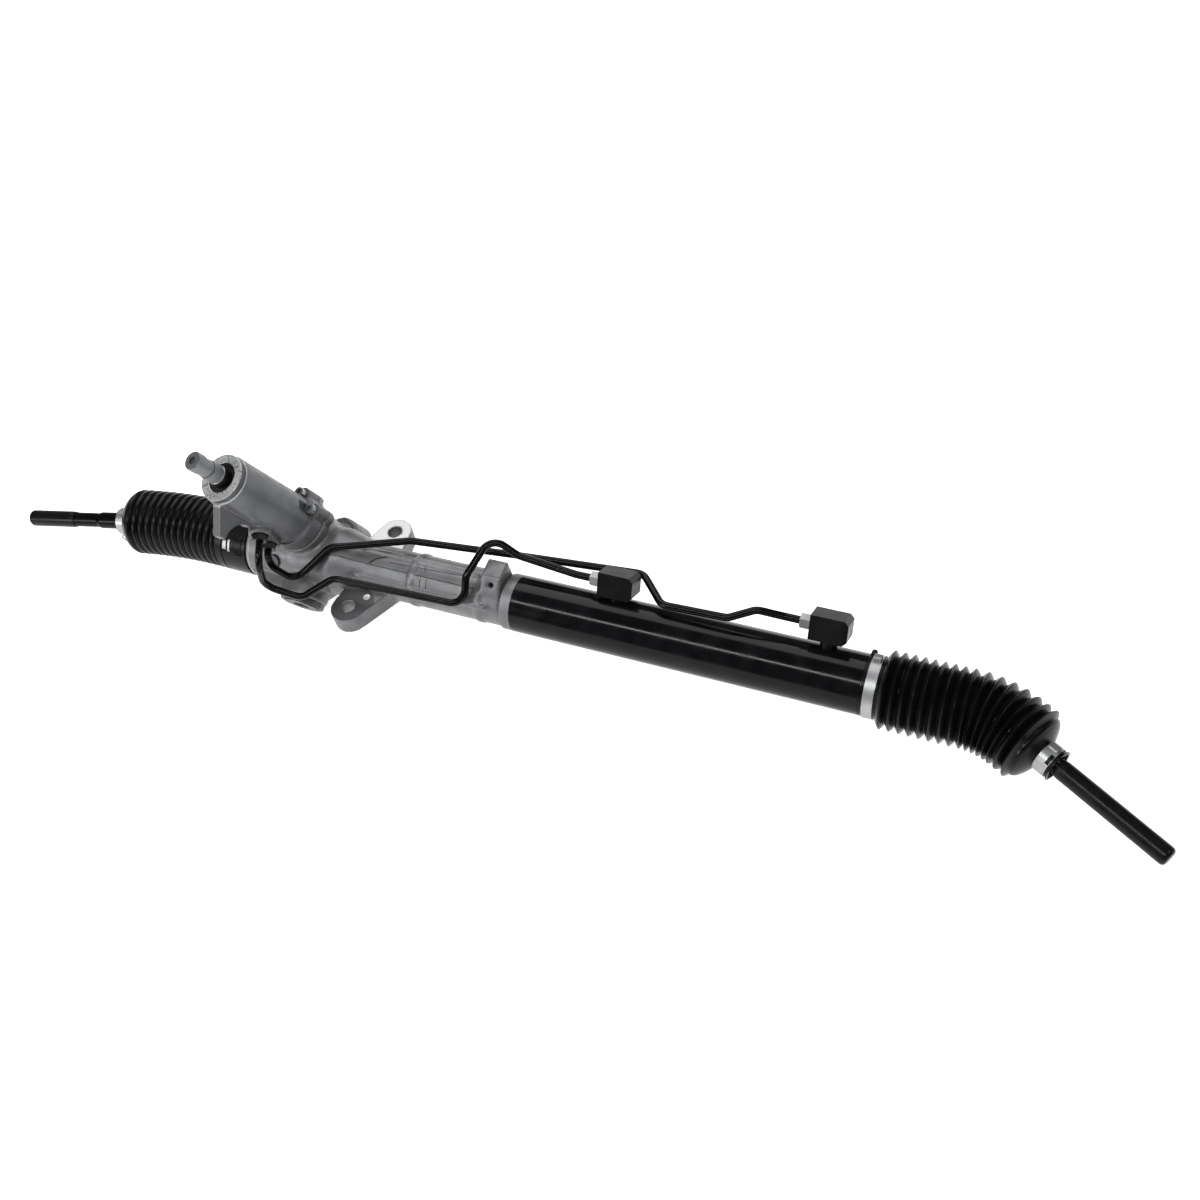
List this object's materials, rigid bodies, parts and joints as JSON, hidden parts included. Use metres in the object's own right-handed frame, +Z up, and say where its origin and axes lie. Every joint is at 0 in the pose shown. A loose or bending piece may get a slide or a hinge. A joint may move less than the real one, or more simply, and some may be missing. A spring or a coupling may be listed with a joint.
{
  "type": "steering rack",
  "caption": "Hydraulic power steering rack: cast pinion housing with a leaning valve tower, black cylinder tube, bellows boots and inner tie rods swung back.",
  "frame": {"origin": "midway between the two mounting holes, on the top face of the mounting ears", "axes": "+X along the rack towards the cylinder end, +Y across the rack away from the side the tower leans to, +Z up along the mounting holes"},
  "size_m": [1.0711, 0.1431, 0.2109],
  "materials": {
    "cast_aluminium": "as-cast, lightly pitted",
    "machined_steel": "turned",
    "dark_steel": "oiled, dark",
    "zinc_steel": "bright zinc plated",
    "black_paint": "gloss black",
    "black_steel": "semi-matt black",
    "rubber": "moulded",
    "dark_sleeve": "soft sleeve",
    "plastic": "low-friction plastic",
    "bronze": "plain bearing"
  },
  "bodies": {
    "housing": {"rack_housing": "cast_aluminium", "grease_plug": "zinc_steel", "valve_tower": "cast_aluminium", "tower_seal_ring": "rubber", "tower_bolts": "zinc_steel", "input_shaft_bearing": "bronze", "input_shaft_seal": "rubber", "pinion_ball_bearing": "machined_steel", "pinion_needle_bearing": "machined_steel", "pinion_cap": "zinc_steel", "cylinder_tube": "black_paint", "tube_collar": "zinc_steel", "inner_bulkhead": "machined_steel", "inner_rack_seal": "rubber", "outer_rack_seal": "rubber", "seal_retainers": "machined_steel", "outer_bulkhead": "machined_steel", "rack_bush": "bronze", "inner_port_block": "black_steel", "outer_port_block": "black_steel", "lower_pipe_nuts": "zinc_steel", "upper_pipe_nuts": "zinc_steel", "lower_pipe": "black_steel", "upper_pipe": "black_steel", "rack_yoke": "cast_aluminium", "yoke_seal_ring": "rubber", "yoke_liner": "plastic", "yoke_spring": "dark_steel", "yoke_plug": "dark_steel", "yoke_lock_nut": "zinc_steel", "right_boot": "rubber", "left_boot": "rubber", "right_boot_clamp": "zinc_steel", "left_boot_clamp": "zinc_steel"},
    "pinion": {"pinion": "machined_steel", "torsion_bar": "dark_steel", "input_shaft": "machined_steel", "torsion_bar_pins": "machined_steel", "valve_sleeve": "machined_steel", "valve_sleeve_rings": "plastic"},
    "rack": {"rack_bar": "machined_steel", "piston": "machined_steel", "piston_ring": "plastic", "piston_clips": "machined_steel", "right_ball_socket": "machined_steel", "left_ball_socket": "machined_steel", "right_stop_washer": "dark_steel", "left_stop_washer": "dark_steel"},
    "right_seat": {"right_ball_seat": "plastic"},
    "right_tie_rod": {"right_tie_rod": "dark_steel", "right_thread_sleeve": "dark_sleeve", "right_tie_rod_clamp": "zinc_steel"},
    "left_seat": {"left_ball_seat": "plastic"},
    "left_tie_rod": {"left_tie_rod": "dark_steel", "left_thread_sleeve": "dark_sleeve", "left_tie_rod_clamp": "zinc_steel"}
  },
  "joints": [
    {"name": "rack_slide", "type": "slide", "parent": "housing", "child": "rack", "axis": [1, 0, 0], "range_m": [-0.072, 0.072], "deforming": ["right_boot", "left_boot"]},
    {"name": "pinion_turn", "type": "hinge", "parent": "housing", "child": "pinion", "pos_m": [-0.0562, 0.01567, 0.00659], "axis": [-0.1822, -0.381, 0.9064], "range_deg": [-508, 508]},
    {"name": "right_swing", "type": "hinge", "parent": "rack", "child": "right_seat", "pos_m": [0.554, 0, 0], "axis": [0, 0.1736, -0.9848], "range_deg": [-60.1, 1.9]},
    {"name": "right_tilt", "type": "hinge", "parent": "right_seat", "child": "right_tie_rod", "pos_m": [0.554, 0, 0], "axis": [-0.4863, -0.8605, -0.1517], "range_deg": [-18, 18]},
    {"name": "left_swing", "type": "hinge", "parent": "rack", "child": "left_seat", "pos_m": [-0.215, 0, 0], "axis": [0, -0.1736, 0.9848], "range_deg": [-42, 20]},
    {"name": "left_tilt", "type": "hinge", "parent": "left_seat", "child": "left_tie_rod", "pos_m": [-0.215, 0, 0], "axis": [0.1908, -0.9667, -0.1705], "range_deg": [-18, 18]}
  ],
  "couplings": [
    {"joint": "pinion_turn", "follows": "rack_slide", "rad_per_m": 122.91}
  ]
}
